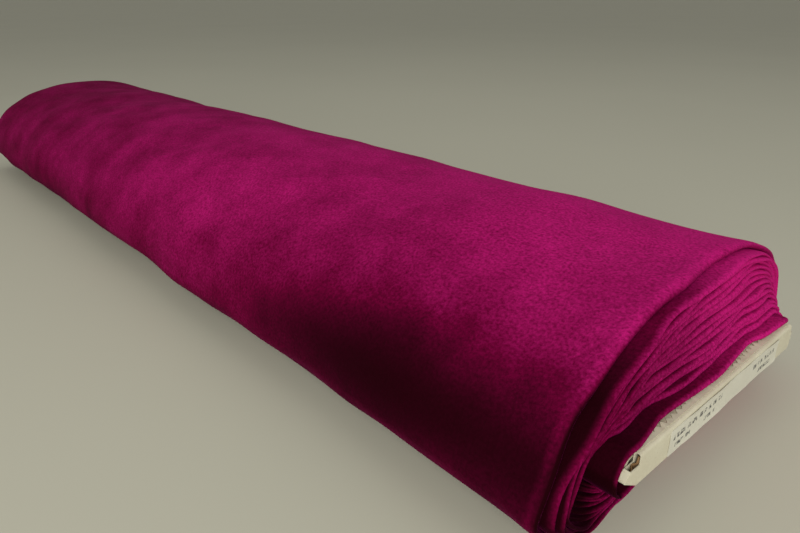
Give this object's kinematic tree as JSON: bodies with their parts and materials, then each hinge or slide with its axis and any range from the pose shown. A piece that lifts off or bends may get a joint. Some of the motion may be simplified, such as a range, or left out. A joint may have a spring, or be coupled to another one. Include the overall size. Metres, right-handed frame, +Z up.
{
  "type": "fabric bolt",
  "caption": "Velour cloth folded double and wound flat round a folded corrugated board whose labelled end stands out of the winding; hinged end flaps.",
  "frame": {"origin": "under the middle of the bolt, on the surface that it lies on", "axes": "+X along the board towards its labelled end, +Y across the board, +Z up"},
  "size_m": [0.7796, 0.213, 0.0861],
  "materials": {
    "velour": "short dense pile with a soft sheen, matt",
    "white_liner": "corrugated board with an off-white liner, matt",
    "kraft": "brown corrugated board, matt",
    "label_paper": "uncoated paper with small printed marks",
    "tape": "thin double-sided tape"
  },
  "bodies": {
    "bolt": {"board_sleeve": "white_liner", "core_insert": "kraft", "velour_cloth": "velour", "starter_tape_1": "tape", "starter_tape_2": "tape", "starter_tape_3": "tape"},
    "label_flap": {"label_end_flap": "white_liner", "end_label": "label_paper"},
    "label_tongue": {"label_end_tongue": "white_liner"},
    "plain_flap": {"plain_end_flap": "white_liner"},
    "plain_tongue": {"plain_end_tongue": "white_liner"}
  },
  "joints": [
    {"name": "label_flap_hinge", "type": "hinge", "parent": "bolt", "child": "label_flap", "pos_m": [0.3878, 0, 0.0364], "axis": [0, -1, 0], "range_deg": [0, 90]},
    {"name": "label_tongue_hinge", "type": "hinge", "parent": "label_flap", "child": "label_tongue", "pos_m": [0.3847, 0, 0.03024], "axis": [0, -1, 0], "range_deg": [-90, 0]},
    {"name": "plain_flap_hinge", "type": "hinge", "parent": "bolt", "child": "plain_flap", "pos_m": [-0.3884, 0, 0.0364], "axis": [0, 1, 0], "range_deg": [0, 90]},
    {"name": "plain_tongue_hinge", "type": "hinge", "parent": "plain_flap", "child": "plain_tongue", "pos_m": [-0.3853, 0, 0.03024], "axis": [0, 1, 0], "range_deg": [-90, 0]}
  ],
  "couplings": [
    {"joint": "label_tongue_hinge", "follows": "label_flap_hinge", "ratio": -1},
    {"joint": "plain_tongue_hinge", "follows": "plain_flap_hinge", "ratio": -1}
  ]
}
